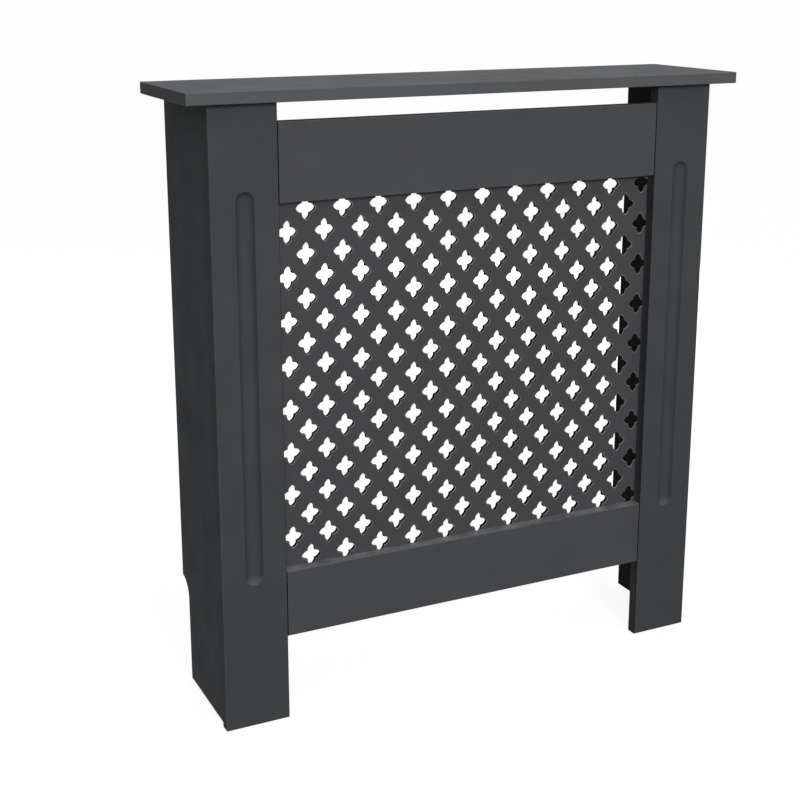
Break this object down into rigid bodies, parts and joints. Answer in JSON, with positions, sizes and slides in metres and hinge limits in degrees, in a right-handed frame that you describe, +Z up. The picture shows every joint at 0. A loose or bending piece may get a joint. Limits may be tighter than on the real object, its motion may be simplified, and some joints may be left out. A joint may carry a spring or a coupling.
{
  "type": "radiator cover cabinet",
  "caption": "Open-backed board cabinet that stands over a wall radiator, with a shelf top, fluted legs, plain rails and a pierced front panel.",
  "frame": {"origin": "on the floor, under the middle of the cabinet", "axes": "+X to the right seen from the front, +Y back to the wall, +Z up"},
  "size_m": [0.78, 0.19, 0.82],
  "materials": {
    "painted_board": "anthracite grey eggshell paint on medium density fibreboard, with a fine orange-peel texture",
    "cast_zinc": "bright die-cast zinc",
    "zinc_plated_steel": "bright zinc plate",
    "staple_wire": "drawn wire, dull",
    "beech": "bare beech",
    "raw_board": "bare fibreboard"
  },
  "bodies": {
    "carcass": {"top_panel": "painted_board", "left_side_panel": "painted_board", "right_side_panel": "painted_board", "left_leg_board": "painted_board", "right_leg_board": "painted_board", "upper_rail": "painted_board", "lower_rail": "painted_board", "lattice_panel": "painted_board", "top_cam_bolts": "zinc_plated_steel", "left_wall_bracket": "zinc_plated_steel", "right_wall_bracket": "zinc_plated_steel", "bracket_screws": "zinc_plated_steel", "lattice_staples": "staple_wire", "top_dowels": "beech", "rail_tongues": "raw_board", "left_side_tongue": "raw_board", "right_side_tongue": "raw_board"},
    "left_top_cam": {"left_top_cam": "cast_zinc"},
    "right_top_cam": {"right_top_cam": "cast_zinc"}
  },
  "joints": [
    {"name": "left_top_cam_turn", "type": "hinge", "parent": "carcass", "child": "left_top_cam", "pos_m": [-0.345, 0.0165, 0.781], "axis": [1, 0, 0], "range_deg": [0, 180]},
    {"name": "right_top_cam_turn", "type": "hinge", "parent": "carcass", "child": "right_top_cam", "pos_m": [0.345, 0.0165, 0.781], "axis": [-1, 0, 0], "range_deg": [0, 180]}
  ]
}
